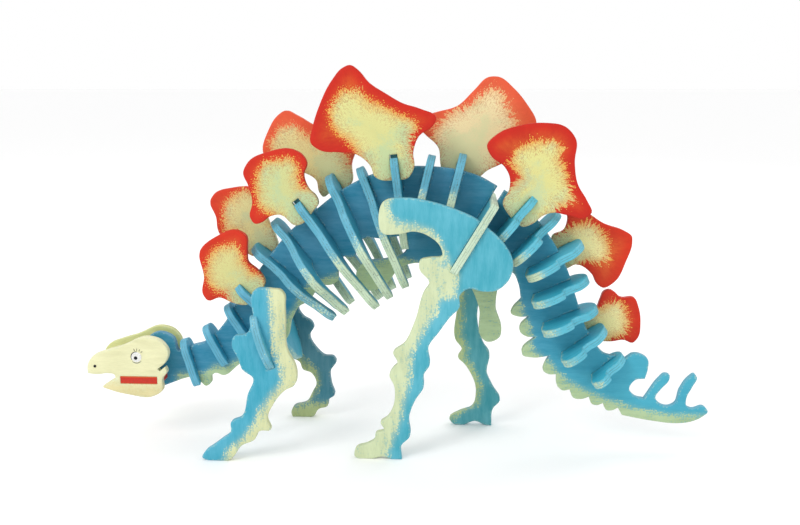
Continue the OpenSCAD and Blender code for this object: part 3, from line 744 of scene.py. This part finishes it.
# rim, ring, heart, stem, streak, speckle
PLATE_PAINTS = {
    "plate_left_1": ((216, 48, 20), (240, 180, 80), (218, 214, 144), (196, 212, 160), 0.7, 1.3),
    "plate_left_2": ((212, 42, 18), (240, 180, 70), (208, 212, 146), (184, 206, 160), 0.7, 1.3),
    "plate_left_3": ((208, 36, 14), (240, 170, 60), (220, 218, 146), (188, 208, 158), 0.8, 1.2),
    "plate_left_4": ((208, 36, 16), (240, 176, 70), (226, 222, 146), (198, 214, 166), 1.9, 0.8),
    "plate_right_1": ((222, 60, 30), (240, 180, 90), (226, 220, 156), (200, 208, 160), 0.7, 1.2),
    "plate_right_2": ((236, 92, 56), (244, 184, 110), (234, 226, 160), (206, 216, 164), 0.7, 1.2),
    "plate_right_3": ((238, 96, 60), (246, 186, 120), (244, 228, 176), (220, 222, 170), 1.9, 1.0),
    "plate_right_4": ((222, 52, 20), (242, 180, 80), (246, 238, 168), (216, 224, 168), 1.9, 0.8),
    "plate_right_5": ((216, 46, 20), (242, 180, 80), (246, 236, 166), (216, 222, 168), 1.5, 0.8),
}

CARRIERS = {
    "plate_left_1": "neck_4", "plate_left_2": "rib_3", "plate_left_3": "rib_6",
    "plate_left_4": "tail_1", "plate_right_1": "rib_1", "plate_right_2": "rib_4",
    "plate_right_3": "rib_8", "plate_right_4": "tail_3", "plate_right_5": "tail_6",
}


def paint_for(node):
    """The material and the material slot of a sheet."""
    family = node.rstrip("_0123456789")
    if node == "jaw_bar":
        return bar_paint("jaw_bar_paint", colour(204, 50, 34), colour(238, 140, 60)), "jaw_bar_ply"
    if node in PLATE_PAINTS:
        *paints, streak, speckle = PLATE_PAINTS[node]
        material = plate_paint(node + "_paint", *(colour(*p) for p in paints), streak, speckle)
        return material, "back_plate_ply"
    blue, cream, grain, specks = BODY_PAINTS[family]
    slot = family.replace("_left", "").replace("_right", "") + "_ply"
    name = family + "_paint"
    material = bpy.data.materials.get(name)
    if material is None:
        material = body_paint(name, colour(*blue), colour(*cream), grain, specks)
    return material, slot


# ---- face ----

def circle(x, z, radius, count=28):
    turns = np.arange(count) / count * 2 * math.pi
    return np.column_stack([x + radius * np.cos(turns), z + radius * np.sin(turns)])


def arc(x, z, radius, start, end, width, count=14):
    """A stroke round part of a circle, thinner at its ends; start and end are in degrees."""
    turns = np.radians(np.linspace(start, end, count))
    way = np.column_stack([np.cos(turns), np.sin(turns)])
    thick = width / 2 * (0.35 + 0.65 * np.sin(np.linspace(0, math.pi, count)))[:, None]
    middle = np.array((x, z)) + way * radius
    return np.vstack([middle + way * thick, (middle - way * thick)[::-1]])


def dashes(x, z, near, far, angles, width):
    """Short strokes that point out from (x, z), at those angles in degrees."""
    made = []
    for angle in np.radians(angles):
        way = np.array((math.cos(angle), math.sin(angle)))
        side = np.array((-way[1], way[0])) * width / 2
        low, high = np.array((x, z)) + way * near, np.array((x, z)) + way * far
        made.append(np.array([low - side, high - side * 0.4, high + side * 0.4, low + side]))
    return made


def face_dabs(body, parts):
    """The painted marks on a head's outer face, as one piece of low paint mounds."""
    side = -1 if body == "head_left" else 1
    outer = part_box(body)[0 if side < 0 else 1][1] / MM
    verts, faces, paints = [], [], []
    for number, (outline, height) in enumerate(parts):
        for ring in outline:
            n, first = len(ring), len(verts)
            # rows round a mound: its foot in the wood, its shoulder and its top
            for inset, up in ((0, -0.05), (0.01, 0.7 * height), (0.03, height)):
                inner = ring + inward(ring) * inset
                verts += [(x, outer + side * up, z) for x, z in inner]
            shown = [[first + 2 * n + a for a in range(n)], [first + n - 1 - a for a in range(n)]]
            for k in (0, n):
                shown += [
                    [first + k + a, first + k + (a + 1) % n,
                     first + k + n + (a + 1) % n, first + k + n + a] for a in range(n)
                ]
            faces += shown if side < 0 else [face[::-1] for face in shown]
            paints += [number] * len(shown)
    mesh = bpy.data.meshes.new(body + "_face")
    mesh.from_pydata([tuple(MM * c for c in v) for v in verts], [], faces)
    for material in FACE_PAINTS:
        mesh.materials.append(material)
    mesh.polygons.foreach_set("material_index", paints)
    piece = bpy.data.objects.new(body + "_face", mesh)
    bpy.context.scene.collection.objects.link(piece)
    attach(piece, body)


# The eye and the nostril, as (x, z), from the low front corner of the head's CAD box.
HEAD_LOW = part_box("head_left")[0]
EYE = (HEAD_LOW[0] / MM + 20.58, HEAD_LOW[2] / MM + 16.87)
NOSTRIL = (HEAD_LOW[0] / MM + 3.28, HEAD_LOW[2] / MM + 12.77)
FACE_PAINTS = [
    dab_paint("eye_white_paint", colour(240, 240, 236), 0.3),
    dab_paint("eye_black_paint", colour(22, 24, 30), 0.25),
    dab_paint("eye_lid_paint", colour(120, 126, 124), 0.4),
]


# ---- the model ----

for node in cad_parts:
    sheet = build_sheet(node)
    keep_marks(sheet, node)
    if node in CORES:
        keep_core(sheet, node)
    material, slot = paint_for(node)
    sheet["piece"].data.materials.append(material)
    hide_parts(node)
    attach(sheet["piece"], node)

for head in ("head_left", "head_right"):
    face_dabs(head, (
        # the white of the eye
        ([circle(*EYE, 2.1)], 0.1),
        # the pupil, the upper lid, the nostril and the lashes
        ([circle(EYE[0] - 0.3, EYE[1] - 0.4, 0.75, 16), arc(*EYE, 2.2, 80, 215, 0.32),
          circle(*NOSTRIL, 0.6, 12), *dashes(*EYE, 2.7, 3.6, (45, 65, 85, 105), 0.25)], 0.16),
        # the lower lid
        ([arc(*EYE, 2.5, 225, 320, 0.3)], 0.12),
    ))


# ---- studio ----

def area_light(name, place, target, size, power):
    light = bpy.data.lights.new(name, "AREA")
    light.shape, light.size, light.energy = "DISK", size, power
    made = bpy.data.objects.new(name, light)
    made.location = place
    made.rotation_euler = (Vector(target) - Vector(place)).to_track_quat("-Z", "Y").to_euler()
    bpy.context.scene.collection.objects.link(made)


floor_mesh = bpy.data.meshes.new("floor")
FLOOR_REACH = 30.0  # so far that its edge doesn't show
floor_mesh.from_pydata(
    [(x * FLOOR_REACH, y * FLOOR_REACH, 0) for x, y in ((-1, -1), (1, -1), (1, 1), (-1, 1))],
    [], [(0, 1, 2, 3)],
)
floor = bpy.data.objects.new("floor", floor_mesh)
bpy.context.scene.collection.objects.link(floor)
floor_material = bpy.data.materials.new("floor_paint")
floor_material.use_nodes = True
floor_shader = floor_material.node_tree.nodes["Principled BSDF"]
floor_shader.inputs["Base Color"].default_value = (0.98, 0.98, 0.98, 1)
floor_shader.inputs["Roughness"].default_value = 0.8
floor_shader.inputs["Specular IOR Level"].default_value = 0.1
floor_mesh.materials.append(floor_material)

world = bpy.data.worlds.new("studio")
world.use_nodes = True
world.node_tree.nodes["Background"].inputs["Color"].default_value = (1, 1, 1, 1)
world.node_tree.nodes["Background"].inputs["Strength"].default_value = 1.0
bpy.context.scene.world = world
bpy.context.scene.view_settings.view_transform = "Standard"

MIDDLE = (0.0, 0.0, 0.075)  # what the lights point at
area_light("key", (-0.55, -0.75, 0.75), MIDDLE, 0.5, 4.0)
area_light("rim", (0.6, 0.7, 0.8), MIDDLE, 0.5, 2.0)

# The camera looks a little down, and is turned a little from the object's left side.
AIM = Vector((0.0012, 0, 0.0742))  # what the middle of the view falls on
TURN, DROP, DISTANCE = math.radians(3.83), math.radians(10.1), 0.4
camera = bpy.data.objects.new("camera", bpy.data.cameras.new("camera"))
bpy.context.scene.collection.objects.link(camera)
across = Vector((math.cos(TURN), math.sin(TURN), 0))
ahead = Vector((
    -math.sin(TURN) * math.cos(DROP), math.cos(TURN) * math.cos(DROP), -math.sin(DROP),
))
turned = Matrix((across, across.cross(ahead), -ahead)).transposed()
camera.matrix_world = (
    Matrix.Translation(AIM - ahead * DISTANCE) @ turned.to_4x4()
)
camera.data.sensor_width, camera.data.lens = 36, 45
camera.data.clip_start = 0.01
bpy.context.scene.camera = camera
